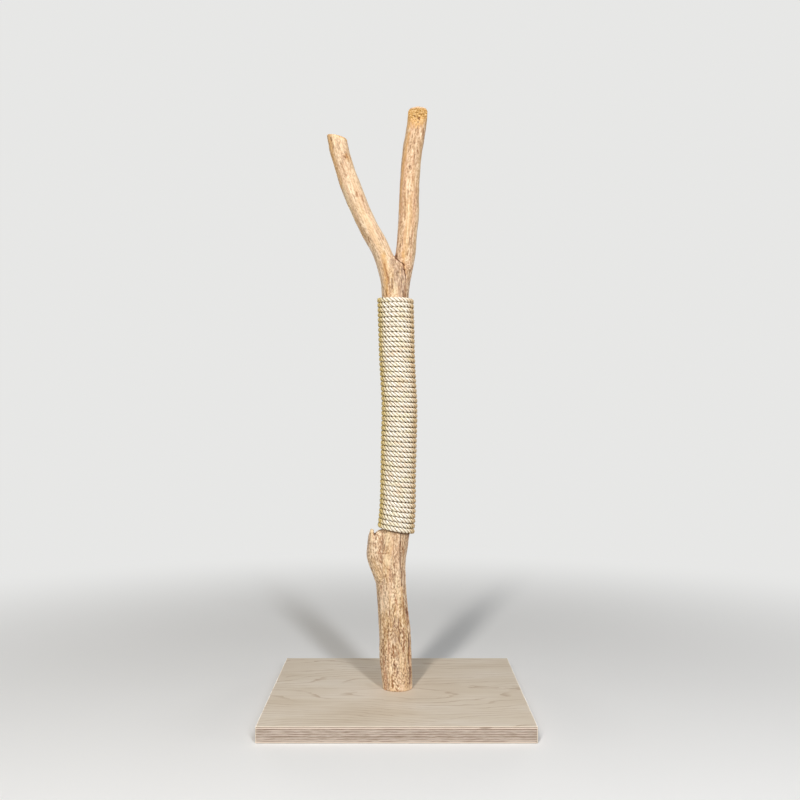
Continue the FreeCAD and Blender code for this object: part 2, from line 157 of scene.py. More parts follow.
# Marks on the front by kind: (x, z) along each, its half width, and how far it lies in (out: -), all in mm.
FRONT_MARKS = {
    "crack_and_painted_shadow": [
        ([(8, 346), (7, 314), (8, 279), (10, 266), (10, 240)], 1.1, 1.8),
        ([(-45, 350), (-44, 341)], 1.5, 1.0),
        ([(4, 176), (3, 158), (7, 147), (4, 138), (7, 126)], 1.0, 1.0),
        ([(-3, 180), (-6, 164), (0, 156)], 0.8, 0.8),
        ([(19, 196), (20, 184)], 0.9, 1.0),
        ([(24, 142), (26, 122), (24, 108), (25, 84)], 1.3, 1.8),
        ([(27, 75), (28, 62), (27, 42)], 1.3, 1.6),
        ([(1, 78), (1, 67)], 1.2, 1.0),
        ([(-4, 86), (-4, 77)], 0.9, 0.7),
        ([(-2, 903), (-1, 895)], 1.8, 0.8),
        ([(-132, 1132), (-130, 1126)], 1.0, 0.4),
        ([(-103, 1095), (-102, 1092)], 1.3, 0.6),
        ([(25, 1082), (26, 1077)], 1.3, 1.4),
        ([(44, 1182), (45, 1179)], 2.2, 1.6),
        ([(36, 1187), (37, 1185)], 1.6, 0.6),
        ([(43, 1173), (43, 1171)], 1.0, 0.6),
        ([(-10, 852), (-9, 832)], 1.2, 0.6),
        ([(-22, 828), (-20, 818)], 1.1, 0.4),
        ([(12, 828), (13, 816)], 1.1, 0.4),
    ],
    "stain": [
        ([(1, 64), (12, 50)], 0.8, 0.7),
        ([(-6, 228), (1, 203)], 0.8, 0.8),
        ([(-36, 304), (-28, 286), (-20, 275), (-12, 270)], 0.8, 0.8),
        ([(23, 346), (24, 320), (21, 298)], 0.9, 1.0),
        ([(12, 334), (13, 290)], 0.8, 0.8),
        ([(-5, 350), (-6, 330), (-8, 296), (-7, 280)], 0.8, 1.0),
        ([(-39, 341), (-34, 333), (-30, 322), (-33, 312), (-37, 306)], 1.1, 0.5),
        ([(-30, 338), (-27, 328), (-29, 316), (-26, 308)], 1.0, 0.4),
        ([(-36, 305), (-26, 304), (-15, 306)], 0.9, 0.4),
        ([(-21, 263), (-19, 249), (-21, 233)], 1.0, 0.3),
        ([(15, 269), (16, 245), (15, 221)], 1.1, 0.4),
        ([(13, 213), (15, 193), (13, 177)], 1.0, 0.3),
        ([(20, 183), (21, 157)], 1.0, 0.4),
        ([(13, 157), (15, 133), (12, 110)], 1.0, 0.4),
        ([(-7, 118), (-4, 98)], 1.6, 0.3),
        ([(2, 116), (4, 100)], 1.4, 0.3),
        ([(-20, 70), (-20, 36)], 1.1, 0.3),
        ([(-9, 62), (-8, 38)], 1.0, 0.3),
        ([(-25, 882), (-16, 846), (-13, 826)], 1.4, 0.3),
        ([(4, 843), (5, 822)], 1.4, 0.3),
        ([(17, 838), (16, 816)], 1.4, 0.4),
        ([(-127, 1114), (-127, 1112)], 1.6, 0.2),
        ([(-114, 1122), (-114, 1119)], 1.6, 0.3),
        ([(-110, 1079), (-106, 1069), (-101, 1056)], 1.6, 0.4),
        ([(-101, 1104), (-99, 1096), (-96, 1085)], 1.8, 0.3),
        ([(-80, 1024), (-79, 1015)], 1.8, 0.4),
        ([(-70, 1018), (-66, 1006)], 1.3, 0.3),
        ([(-57, 935), (-55, 926)], 1.4, 0.3),
        ([(-31, 940), (-27, 931)], 1.4, 0.3),
        ([(32, 1061), (33, 1053)], 1.8, 0.3),
        ([(42, 1115), (43, 1109)], 1.6, 0.2),
        ([(16, 1027), (17, 1000), (16, 978)], 1.2, 0.2),
        ([(53, 1160), (53, 1142)], 1.4, 0.0),
    ],
    "light": [
        ([(-18, 342), (-18, 326)], 5.0, -0.8),
        ([(-20, 296), (-18, 286)], 6.0, -1.3),
        ([(-9, 300), (-9, 278)], 1.6, -0.5),
        ([(-1, 255), (1, 229), (5, 207)], 2.2, -0.6),
        ([(-9, 222), (-12, 196)], 2.0, -0.4),
        ([(-14, 104), (-12, 70)], 2.4, -0.4),
        ([(-50, 352), (-50, 346)], 2.6, -3.6),
        ([(-50, 344), (-50, 330)], 1.6, -0.5),
        ([(-2, 842), (-3, 822)], 4.5, -0.6),
        ([(-128, 1135), (-124, 1117)], 1.6, -0.3),
        ([(-126, 1136), (-104, 1128)], 1.5, 0.0),
        ([(-119, 1129), (-109, 1115)], 1.2, -0.2),
        ([(-107, 1040), (-97, 1008), (-86, 976)], 2.6, -0.2),
        ([(-61, 980), (-49, 956)], 2.0, -0.2),
        ([(31, 1045), (31, 1031)], 1.5, -0.5),
        ([(24, 1002), (22, 960), (20, 926)], 1.3, -0.2),
    ],
    "bark": [
        ([(-6, 888), (0, 866), (4, 842)], 9.0, 0.0),
        ([(11, 868), (12, 846), (10, 820)], 7.0, 0.3),
        ([(-57, 346), (-58, 318)], 2.4, 0.0),
        ([(-3, 172), (-4, 150), (-3, 132)], 5.0, 0.2),
    ],
    "ochre": [
        ([(-26, 900), (-22, 860), (-20, 822)], 5.0, 0.0),
        ([(-134, 1136), (-131, 1110), (-124, 1074), (-112, 1036)], 5.5, 0.0),
        ([(-100, 1004), (-84, 968), (-68, 936)], 4.5, 0.0),
        ([(-101, 1096), (-97, 1090)], 4.0, 0.0),
        ([(24, 1150), (14, 1093), (7, 1040), (4, 990)], 3.0, 0.0),
        ([(12, 906), (14, 884), (18, 866)], 3.0, 0.0),
    ],
}
MARK_ROOM = 4.0             # half widths from a mark's line to where it ends
# How much of a mark is left where it breaks up.
FRONT_WHOLE = {"crack_and_painted_shadow": 0.85, "stain": 0.6, "ochre": 0.6}

# The notch in the top of the stump, mm.
STUMP_NOTCH = 7.0
STUMP_NOTCH_X = -45.4

# How far the right tip's shoulders stand above the plain saw cut, mm.
SHOULDER_LIFT = 2.2

# Light, smooth scars of lost twigs: limb, height mm, angle from the front, half height mm, half width mm.
SCARS = [
    ("stem", 214, 140, 14, 9),
    ("left", 1010, 170, 10, 6),
]

# How worn the wood is at heights in mm: the foot is rough and the branches are smooth.
WEAR = [(30, 1.0), (300, 1.0), (360, 0.8), (840, 0.5), (900, 0.35), (1000, 0.22), (1240, 0.22)]

# How pale the limbs are, and the stem at heights in mm. The right branch is tanned instead.
PALE = {"left": 0.45, "right": 0.0, "stump": 0.40}
STEM_PALE = [(30, 0.0), (200, 0.0), (270, 0.30), (350, 0.35), (820, 0.10), (900, 0.10)]
RIGHT_TAN = 0.2

# Rough patches on the trunk: height mm, angle from the front, half height mm and half width mm.
PATCHES = [(57, 50, 28, 19), (152, 0, 20, 6)]

# How far ochre stains run down from the cuts, mm.
CUT_STAINS = {"left": 5.0, "right": 24.0}
CUT_REACH = 45              # all of a cut is nearer than this to its point, mm

# Where the limbs are blended where they meet, and how far, mm.
FORK_MIDDLE = (-4, 0, 893)
STUMP_MIDDLE = (-30, -2, 300)
BLEND_REACH = 34

# The mesh: its even spacing, and the share of it that is kept at the heights in mm that the rope hides.
VOXEL = 1.3                 # mm
HIDDEN_LEVELS = (356, 806)
HIDDEN_KEPT = 0.68

# Rope, as in the CAD source, in mm.
ROPE_DIAMETER = 9.2
ROPE_PITCH = 9.93
ROPE_TO_WOOD = 0.4
ROPE_TOP = 814.8
TURNS = 47
TILT_TOP = -0.03
TILT_BOTTOM = 0.13
TAIL_TURNS = 0.3
TAIL_SHIFT = 4.5
STAPLE_DISTANCES = (5, 20)

# The three strands that the rope is laid from, in mm.
STRANDS = 3
LAY = 24.0                  # length of one turn of the strands
STRAND_RADIUS = 2.7
STRAND_CENTRE = 2.25        # from the rope's centre line to a strand's
STRAND_POINTS = 13          # on the outer side of a strand's section
STRAND_REACH = 106.0        # degrees either side of a strand's crest, down to the groove
RINGS_PER_TURN = 124
FIBRE_SLOPE = 0.45          # fibres turn against the lay, so that they lie along the rope
END_LIFT = 2.95             # the CAD rope stands off the wood near its ends
END_LIFT_AT = 22.0
END_LIFT_REACH = 14.0
PINCH = 0.05                # how much the staples narrow the rope
SQUARENESS = 2.8            # 2 would be a round section

# Loose fibres on the rope and in the tuft at each end: their number, and lengths and radii in mm.
FIBRES = 2400
FIBRE_LENGTHS = (3, 11)
FIBRE_RADII = (0.05, 0.09)
TUFT_FIBRES = 70
TUFT_LENGTHS = (3, 9)
TUFT_RADII = (0.06, 0.1)
FIBRE_RINGS = 5
FIBRE_SIDES = 3
SEED = 11

# The space between year rings on the saw cuts, in metres, and the year lines across a metre of veneer.
YEAR_RING = 0.0021
YEAR_LINES = 42.0

# The plate's edge, in metres: thickness of a ply, rows of dark spots, plies that stand out, and a void.
PLY = 0.00143
DARK_ROW = 0.00429
DARK_ROW_SHIFT = -0.3275    # in rows
PALE_PLIES = [(0.0270, 0.0009, 0.0004), (0.0022, 0.0010, 0.0005)]    # height, outer and inner reach
DARK_PLY = 0.0286
VOID = (0.157, 0.0279)      # x and height
VOID_HALF = (0.011, 0.0011)


# ---- geometry shared by wood and rope ----

def along(stations, heights):
    """Centre x and y, half width and half depth at heights in mm, on smooth curves through the stations."""
    table = np.array(stations, float)
    heights = np.asarray(heights, float)
    levels = table[:, 0]
    last = len(levels) - 1
    i = np.clip(np.searchsorted(levels, heights) - 1, 0, last - 1)
    before = np.maximum(i - 1, 0)
    after = np.minimum(i + 2, last)
    span = levels[i + 1] - levels[i]
    s = (heights - levels[i]) / span
    values = []
    for k in (1, 2, 3, 4):
        column = table[:, k]
        slope_a = (column[i + 1] - column[before]) / (levels[i + 1] - levels[before]) * span
        slope_b = (column[after] - column[i]) / (levels[after] - levels[i]) * span
        value = (2 * s ** 3 - 3 * s ** 2 + 1) * column[i] + (s ** 3 - 2 * s ** 2 + s) * slope_a
        value += (3 * s ** 2 - 2 * s ** 3) * column[i + 1] + (s ** 3 - s ** 2) * slope_b
        values.append(value)
    return values


def smoothstep(low, high, values):
    share = np.clip((values - low) / (high - low), 0.0, 1.0)
    return share * share * (3 - 2 * share)


def bell(values, reach):
    return np.exp(-(values / reach) ** 2)


def unit(vectors):
    return vectors / np.linalg.norm(vectors, axis=-1, keepdims=True)


def flat_bell(values, reach):
    return 1 - smoothstep(0.45 * reach, 1.5 * reach, values)


def noise_at(points):
    return np.array([noise.noise(point) for point in points.tolist()])


def new_object(name, data):
    made = bpy.data.objects.new(name, data)
    bpy.context.scene.collection.objects.link(made)
    return made


def new_mesh(name, points, faces, material):
    """A mesh object from points in mm."""
    mesh = bpy.data.meshes.new(name)
    mesh.from_pydata((np.asarray(points) * MM).tolist(), [], faces)
    mesh.update()
    mesh.shade_smooth()
    mesh.materials.append(material)
    return new_object(name, mesh)


def dress(piece, material):
    piece.data.materials.clear()
    piece.data.materials.append(material)


def keep_values(piece, name, values):
    """Stores one number or one vector for each vertex, for the material to read."""
    kind = "FLOAT" if values.ndim == 1 else "FLOAT_VECTOR"
    field = "value" if values.ndim == 1 else "vector"
    attribute = piece.data.attributes.new(name, kind, "POINT")
    attribute.data.foreach_set(field, values.astype(np.float32).ravel())


def points_of(mesh):
    """A mesh's vertices in mm."""
    flat = np.empty(len(mesh.vertices) * 3)
    mesh.vertices.foreach_get("co", flat)
    return flat.reshape(-1, 3) / MM


def set_points(mesh, points):
    mesh.vertices.foreach_set("co", (points * MM).ravel())
    mesh.update()


def normals_of(mesh):
    flat = np.empty(len(mesh.vertices) * 3)
    mesh.vertex_normals.foreach_get("vector", flat)
    return flat.reshape(-1, 3)


# ---- materials ----

def srgb(red, green, blue):
    """A colour written in 0 to 255, as the shader's linear colour."""
    def linear(value):
        share = value / 255
        return share / 12.92 if share <= 0.04045 else ((share + 0.055) / 1.055) ** 2.4
    return (linear(red), linear(green), linear(blue), 1.0)


class Nodes:
    """Short calls for the nodes of a tree. Each value is a number or another node's output."""

    def __init__(self, tree):
        self.tree = tree

    def put(self, socket, value):
        if isinstance(value, bpy.types.NodeSocket):
            self.tree.links.new(value, socket)
        else:
            socket.default_value = value

    def node(self, kind, **inputs):
        made = self.tree.nodes.new("ShaderNode" + kind)
        for name, value in inputs.items():
            self.put(made.inputs[name.replace("_", " ")], value)
        return made

    def math(self, operation, a, b=0.0, c=0.0):
        made = self.tree.nodes.new("ShaderNodeMath")
        made.operation = operation
        for socket, value in zip(made.inputs, (a, b, c)):
            self.put(socket, value)
        return made.outputs["Value"]

    def times(self, a, b):
        return self.math("MULTIPLY", a, b)

    def plus(self, a, b):
        return self.math("ADD", a, b)

    def minus(self, a, b):
        return self.math("SUBTRACT", a, b)

    def times_plus(self, a, b, c):
        return self.math("MULTIPLY_ADD", a, b, c)

    def fraction(self, a):
        return self.math("FRACT", a)

    def apart(self, a, b):
        return self.math("ABSOLUTE", self.minus(a, b))

    def seen_rays(self):
        """1 for rays that look at the stage, from the camera or by reflection, and 0 for rays that light."""
        path = self.node("LightPath")
        looked = self.math("MAXIMUM", path.outputs["Is Camera Ray"], path.outputs["Is Glossy Ray"])
        return self.math("MAXIMUM", looked, path.outputs["Is Transmission Ray"])

    def mix_shaders(self, share, first, second):
        made = self.node("MixShader", Fac=share)
        self.put(made.inputs[1], first)
        self.put(made.inputs[2], second)
        return made.outputs["Shader"]


class Finish(Nodes):
    """A material and the node tree that its colour, roughness and bumps come from."""

    def __init__(self, name, **numbers):
        self.material = bpy.data.materials.new(name)
        self.material.use_nodes = True
        super().__init__(self.material.node_tree)
        self.shader = self.tree.nodes["Principled BSDF"]
        for socket, value in numbers.items():
            self.shader.inputs[socket.replace("_", " ")].default_value = value

    def stored(self, name, output):
        made = self.node("Attribute")
        made.attribute_name = name
        return made.outputs[output]

    def value(self, name):
        return self.stored(name, "Fac")

    def vector(self, name):
        return self.stored(name, "Vector")

    def position(self):
        return self.node("NewGeometry").outputs["Position"]

    def noise(self, vector, scale, detail=2.0, roughness=0.5, distortion=0.0, shift=(0, 0, 0)):
        place = self.node("Mapping", Vector=vector, Scale=scale, Location=shift).outputs["Vector"]
        made = self.node("TexNoise", Vector=place, Scale=1.0, Detail=detail, Roughness=roughness,
                         Distortion=distortion)
        return made.outputs["Fac"]

    def parts(self, vector):
        made = self.node("SeparateXYZ", Vector=vector)
        return made.outputs["X"], made.outputs["Y"], made.outputs["Z"]

    def join(self, x, y, z):
        return self.node("CombineXYZ", X=x, Y=y, Z=z).outputs["Vector"]

    def between(self, value, low, high, to_low=0.0, to_high=1.0):
        """The value, smoothly and clamped, from low..high to to_low..to_high."""
        made = self.node("MapRange", Value=value, From_Min=low, From_Max=high, To_Min=to_low, To_Max=to_high)
        made.interpolation_type = "SMOOTHSTEP"
        return made.outputs["Result"]

    def ramp(self, factor, stops):
        made = self.node("ValToRGB", Fac=factor)
        elements = made.color_ramp.elements
        while len(elements) < len(stops):
            elements.new(0.5)
        for element, (place, colour) in zip(elements, stops):
            element.position = place
            element.color = srgb(*colour)
        return made.outputs["Color"]

    def mix(self, factor, a, b):
        made = self.tree.nodes.new("ShaderNodeMix")
        made.data_type = "RGBA"
        for number, value in ((0, factor), (6, a), (7, b)):
            self.put(made.inputs[number], value)
        return made.outputs[2]

    def tint(self, colour, name, share, towards):
        """The colour, turned towards another where a value that the mesh holds is high."""
        return self.mix(self.times(self.value(name), share), colour, srgb(*towards))

    def wash(self, colour, values, low, high, share, towards):
        """The colour, turned towards another by up to a share as values go from low to high."""
        return self.mix(self.between(values, low, high, 0.0, share), colour, srgb(*towards))

    def done(self, colour, roughness, height=None, distance=0.0, strength=0.0):
        """The material, once it has its colour and roughness, and bumps of a distance in metres."""
        self.put(self.shader.inputs["Base Color"], colour)
        self.put(self.shader.inputs["Roughness"], roughness)
        if height is not None:
            bumps = self.node("Bump", Height=height, Distance=distance, Strength=strength)
            self.put(self.shader.inputs["Normal"], bumps.outputs["Normal"])
        return self.material


def wood_finish():
    """Peeled wood: flecked streaks, warm and pale patches, dark cracks and knots, end grain on the cuts."""
    f = Finish("peeled_wood", Specular_IOR_Level=0.25)
    grain = f.vector("grain")
    place = f.position()
    rough = f.value("rough")
    pale = f.noise(grain, (36, 36, 9))
    warm = f.noise(grain, (90, 90, 11), shift=(3, 1, 5))
    ochre = f.noise(grain, (70, 70, 8), shift=(9, 4, 2))
    streaks = f.noise(grain, (230, 230, 14), 3.0, 0.65)
    threads = f.noise(grain, (480, 480, 36), 3.0, 0.65, shift=(1, 6, 3))
    flecks = f.noise(grain, (360, 360, 95), 3.0, 0.75, 0.4, (2, 7, 1))
    specks = f.noise(grain, (480, 480, 170), 1.0, shift=(8, 3, 6))
    grit = f.noise(grain, (340, 340, 200), 1.0, shift=(6, 1, 4))

    tone = f.times_plus(streaks, 0.7, f.times_plus(threads, 1.1, -0.40))
    worn = f.times(f.minus(flecks, 0.5), f.times_plus(rough, 0.65, 0.65))
    grit = f.times(f.minus(grit, 0.5), f.times_plus(rough, 0.55, 0.65))
    tone = f.plus(tone, f.plus(grit, worn))
    colour = f.ramp(tone, [
        (0.26, (118, 82, 54)), (0.39, (176, 140, 105)), (0.50, (208, 175, 139)), (0.61, (226, 198, 163)),
        (0.74, (242, 221, 190)),
    ])
    colour = f.wash(colour, warm, 0.47, 0.66, 0.40, (214, 162, 128))
    colour = f.wash(colour, ochre, 0.48, 0.66, 0.42, (212, 172, 112))
    colour = f.wash(colour, pale, 0.50, 0.66, 0.40, (238, 216, 188))
    colour = f.wash(colour, rough, 0.5, 0.2, 0.16, (240, 210, 172))
    colour = f.tint(colour, "pale", 0.6, (240, 214, 183))
    colour = f.tint(colour, "ochre", 0.68, (214, 164, 98))
    colour = f.tint(colour, "ridge", 0.5, (182, 130, 98))
    dots = f.times(f.between(specks, 0.60, 0.70), f.times_plus(rough, 0.55, 0.12))
    colour = f.mix(dots, colour, srgb(118, 80, 50))
    colour = f.tint(colour, "vein", 0.75, (136, 94, 62))
    colour = f.tint(colour, "scar", 0.4, (216, 186, 158))
    colour = f.tint(colour, "light", 0.65, (245, 222, 184))
    colour = f.tint(colour, "stain", 0.78, (146, 94, 54))
    peppered = f.ramp(f.noise(grain, (420, 420, 70), 3.0, 0.7, shift=(5, 5, 2)), [
        (0.37, (84, 62, 44)), (0.44, (148, 120, 98)), (0.53, (190, 160, 136)), (0.65, (224, 194, 170)),
    ])
    colour = f.mix(f.times(f.value("bark"), 0.8), colour, peppered)

    across_x, across_y, _ = f.parts(grain)
    flat = f.join(across_x, across_y, 0.0)
    reach = f.node("VectorMath", Vector=flat)
    reach.operation = "LENGTH"
    radius = f.times_plus(f.noise(flat, (120, 120, 1)), 0.004, reach.outputs["Value"])
    ring = f.math("SINE", f.times(radius, 2 * math.pi / YEAR_RING))
    blotches = f.noise(place, (250, 250, 250), 3.0, 0.85, 0.5, (4, 4, 4))
    end_colour = f.ramp(f.times_plus(ring, 0.025, blotches), [
        (0.37, (112, 68, 26)), (0.44, (162, 120, 50)), (0.50, (206, 156, 92)), (0.56, (228, 184, 122)),
        (0.64, (248, 220, 168)),
    ])
    end_colour = f.tint(end_colour, "rim", 0.8, (240, 206, 174))
    colour = f.mix(f.value("cut"), colour, end_colour)

    colour = f.tint(colour, "knot", 0.8, (138, 88, 54))
    patch_colour = f.ramp(f.noise(place, (400, 400, 260), 3.0, 0.65), [
        (0.38, (86, 58, 38)), (0.46, (158, 120, 84)), (0.54, (208, 174, 136)), (0.64, (238, 212, 178)),
    ])
    colour = f.mix(f.times(f.value("patch"), 0.85), colour, patch_colour)
    # Dark brown in cracks and seams. The same tint paints the shadow line under the rope's last turn.
    colour = f.tint(colour, "crack_and_painted_shadow", 0.95, (100, 58, 34))
    return f.done(colour, f.between(tone, 0.35, 0.65, 0.80, 0.62), tone, 0.0012, 0.8)


def sisal_finish():
    """Pale, dry sisal: fine fibres along the strands, a few darker ones, painted shade in the grooves, and
    painted olive and tan shade on the sides.
    """
    f = Finish("sisal", Specular_IOR_Level=0.25, Sheen_Weight=0.1, Sheen_Roughness=0.5)
    fibre = f.vector("fibre")
    place = f.position()
    x = f.parts(place)[0]
    hairs = f.noise(fibre, (2200, 70, 10), 2.0, 0.6)
    yarns = f.noise(fibre, (700, 26, 10), shift=(5, 3, 0))
    tone = f.times_plus(hairs, 0.5, f.times(yarns, 0.5))
    colour = f.ramp(tone, [
        (0.34, (196, 177, 138)), (0.43, (236, 225, 199)), (0.52, (250, 245, 232)), (0.64, (255, 253, 248)),
    ])
    straw = f.noise(place, (34, 34, 60), shift=(1, 9, 0))
    tan = f.noise(place, (40, 40, 90), shift=(6, 2, 8))
    colour = f.wash(colour, straw, 0.50, 0.66, 0.34, (226, 216, 160))
    colour = f.wash(colour, tan, 0.52, 0.68, 0.34, (234, 200, 168))
    # Painted shade: the rope's flanks, as seen from the front, are turned olive on the left and tan on the
    # right.
    for side, share, towards in ((-1, 0.85, (198, 172, 88)), (1, 0.75, (206, 170, 114))):
        here = f.times(f.value("painted_side_shade"), f.between(x, -0.008 * side, 0.012 * side))
        colour = f.mix(f.times(here, share), colour, srgb(*towards))
    # Painted shade: brown-olive where the strands dip into their grooves and where one turn leans on the
    # next.
    colour = f.tint(colour, "groove", 0.72, (146, 112, 62))
    return f.done(colour, f.between(tone, 0.3, 0.7, 0.9, 0.72), tone, 0.0008, 0.9)


def fibre_finish():
    f = Finish("sisal_fibre", Specular_IOR_Level=0.25)
    tone = f.noise(f.position(), (300, 300, 300), 1.0)
    colour = f.ramp(tone, [(0.35, (214, 198, 158)), (0.6, (246, 239, 216))])
    return f.done(colour, f.between(tone, 0.3, 0.7, 0.85, 0.7))


def plywood_finish():
    """Birch plywood: a pale figured veneer with its grain along x, plies on the edges, and a painted
    highlight on the rounded edges and corners.
    """
    f = Finish("birch_plywood", Specular_IOR_Level=0.3)
    place = f.position()
    x, y, z = f.parts(place)
    field = f.noise(place, (1.7, 4.6, 0), 2.0, 0.4)
    wiggle = f.noise(place, (14, 40, 0), 2.0, 0.6, shift=(2, 5, 0))
    field = f.times_plus(field, 17.0, f.times_plus(wiggle, 0.9, f.times(y, YEAR_LINES)))
    year = f.fraction(field)
    late_wood = f.times(f.between(year, 0.74, 0.93), f.between(year, 1.0, 0.96))
    faint = f.noise(place, (6, 26, 0), shift=(3, 3, 0))
    lines = f.times(late_wood, f.between(faint, 0.38, 0.60, 0.15, 1.0))
    pores = f.noise(place, (28, 900, 1))
    streaks = f.noise(place, (4, 150, 1), 3.0, 0.6, shift=(7, 2, 0))
    clouds = f.noise(place, (5, 14, 1), shift=(2, 8, 1))
    top = f.ramp(clouds, [(0.32, (209, 194, 173)), (0.5, (216, 203, 184)), (0.68, (222, 211, 195))])
    top = f.mix(f.times(lines, f.between(pores, 0.3, 0.6, 0.35, 0.70)), top, srgb(172, 144, 114))
    top = f.wash(top, pores, 0.56, 0.70, 0.30, (188, 168, 144))
    top = f.wash(top, streaks, 0.48, 0.64, 0.20, (194, 174, 150))

    plies = f.times(z, 1 / PLY)
    ply = f.math("FLOOR", plies)
    side_grain = f.join(f.times(x, 25.0), f.times(y, 25.0), f.times(ply, 3.7))
    dashes = f.noise(place, (45, 45, 1100), 3.0, 0.7, shift=(0.3, 0.1, 0.2))
    ply_tone = f.node("TexWhiteNoise", Vector=f.join(ply, 0.0, 0.0)).outputs["Value"]
    wander = f.noise(side_grain, (1, 1, 1), 3.0)
    tone = f.times_plus(ply_tone, 0.22, f.times(wander, 0.16))
    tone = f.times_plus(f.math("MODULO", ply, 2.0), 0.10, f.plus(tone, 0.14))
    tone = f.times_plus(f.minus(dashes, 0.5), 1.2, tone)
    edge = f.ramp(tone, [
        (0.20, (208, 194, 182)), (0.42, (179, 163, 149)), (0.58, (153, 135, 120)), (0.80, (106, 84, 66)),
    ])
    row = f.fraction(f.times_plus(z, 1 / DARK_ROW, DARK_ROW_SHIFT))
    row = f.between(f.apart(row, 0.5), 0.18, 0.07)
    row = f.times(row, f.between(f.noise(side_grain, (1, 1, 1)), 0.36, 0.54, 0.15, 0.75))
    edge = f.mix(row, edge, srgb(112, 86, 66))
    glue = f.between(f.apart(f.fraction(plies), 0.5), 0.40, 0.49)
    edge = f.mix(f.times(glue, 0.40), edge, srgb(118, 92, 72))
    pale_plies = [f.between(f.apart(z, height), outer, inner) for height, outer, inner in PALE_PLIES]
    pale_ply = f.times(f.math("MAXIMUM", *pale_plies), f.between(dashes, 0.30, 0.50, 0.5, 0.95))
    edge = f.mix(pale_ply, edge, srgb(236, 218, 203))
    dark_ply = f.between(f.apart(z, DARK_PLY), 0.0008, 0.0003)
    edge = f.mix(f.times(dark_ply, 0.8), edge, srgb(116, 90, 70))
    across = f.times(f.minus(x, VOID[0]), 1 / VOID_HALF[0])
    up = f.times(f.minus(z, VOID[1]), 1 / VOID_HALF[1])
    void = f.plus(f.times(across, across), f.times(up, up))
    void = f.times(f.between(void, 1.5, 0.6), f.between(y, -0.20, -0.24))
    edge = f.mix(f.times(void, 0.8), edge, srgb(104, 74, 50))

    east, north, facing = f.parts(f.node("NewGeometry").outputs["Normal"])
    steep = f.math("ABSOLUTE", facing)
    side = f.between(steep, 0.75, 0.45)
    # Painted highlight: the rounded arrises and upright corners are lightened as if they caught the light.
    arris = f.times(f.between(steep, 0.4, 0.7), f.between(steep, 0.99, 0.85))
    corner = f.between(f.math("ABSOLUTE", f.times(east, north)), 0.08, 0.3)
    painted_edge_highlight = f.math("MAXIMUM", arris, corner)
    colour = f.mix(f.times(painted_edge_highlight, 0.8), f.mix(side, top, edge), srgb(244, 232, 214))
    height = f.mix(side, pores, f.minus(tone, glue))
    return f.done(colour, f.between(pores, 0.3, 0.7, 0.5, 0.68), height, 0.0003, 0.5)


def steel_finish(name, light, dark, roughness):
    """Plated or drawn steel with a slightly cloudy plating."""
    f = Finish(name, Metallic=1.0)
    clouds = f.noise(f.position(), (500, 500, 500), 3.0)
    colour = f.ramp(clouds, [(0.35, dark), (0.65, light)])
    return f.done(colour, f.between(clouds, 0.3, 0.7, roughness, roughness + 0.15), clouds, 0.00005, 0.3)


# ---- trunk ----

def limb_frame(points, name):
    """Offsets from a limb's axis, angle from the front, radius, length along it, and how far off it."""
    stations = LIMBS[name]
    heights = np.clip(points[:, 2], stations[0][0], stations[-1][0])
    x, y, half_width, half_depth = along(stations, heights)
    east = points[:, 0] - x
    north = points[:, 1] - y
    angle = np.arctan2(east / half_width, -north / half_depth)
    ratio = np.hypot(east / half_width, north / half_depth)
    outside = np.abs(points[:, 2] - heights)
    return {
        "east": east,
        "north": north,
        "angle": angle,
        "radius": (half_width + half_depth) / 2,
        "length": limb_length(name, points[:, 2]),
        "miss": np.abs(ratio - 1) + outside / 10,
    }


def limb_length(name, heights):
    """Length along a limb's axis in mm, counted so that it runs on from the stem's."""
    stations = LIMBS[name]
    levels = np.linspace(stations[0][0], stations[-1][0], 200)
    x, y, _, _ = along(stations, levels)
    steps = np.sqrt(np.diff(x) ** 2 + np.diff(y) ** 2 + np.diff(levels) ** 2)
    lengths = np.concatenate([[0.0], np.cumsum(steps)]) + levels[0]
    return np.interp(heights, levels, lengths)


def line_distance(u, v, line):
    """Distance to a line of (u, v) points, the share along it, and how far u is beyond the line's."""
    best = np.full(len(u), 1e9)
    share = np.zeros(len(u))
    beyond = np.zeros(len(u))
    for i, ((u_a, v_a), (u_b, v_b)) in enumerate(zip(line, line[1:])):
        run_u = u_b - u_a
        run_v = v_b - v_a
        s = np.clip(((u - u_a) * run_u + (v - v_a) * run_v) / (run_u ** 2 + run_v ** 2), 0, 1)
        gap = u - u_a - s * run_u
        distance = np.hypot(gap, v - v_a - s * run_v)
        nearer = distance < best
        best = np.where(nearer, distance, best)
        share = np.where(nearer, (i + s) / (len(line) - 1), share)
        beyond = np.where(nearer, gap, beyond)
    return best, share, beyond


def angle_from(limb, degrees):
    """Angle round a limb from the given one, -pi to pi."""
    return np.remainder(limb["angle"] - math.radians(degrees) + math.pi, 2 * math.pi) - math.pi


def from_cut(points, name):
    """How far points are beyond a saw cut in mm, and which of them are near it."""
    place, facing = CUTS[name]
    offsets = points - np.array(place)
    return offsets @ unit(np.array(facing)), np.linalg.norm(offsets, axis=1) < CUT_REACH


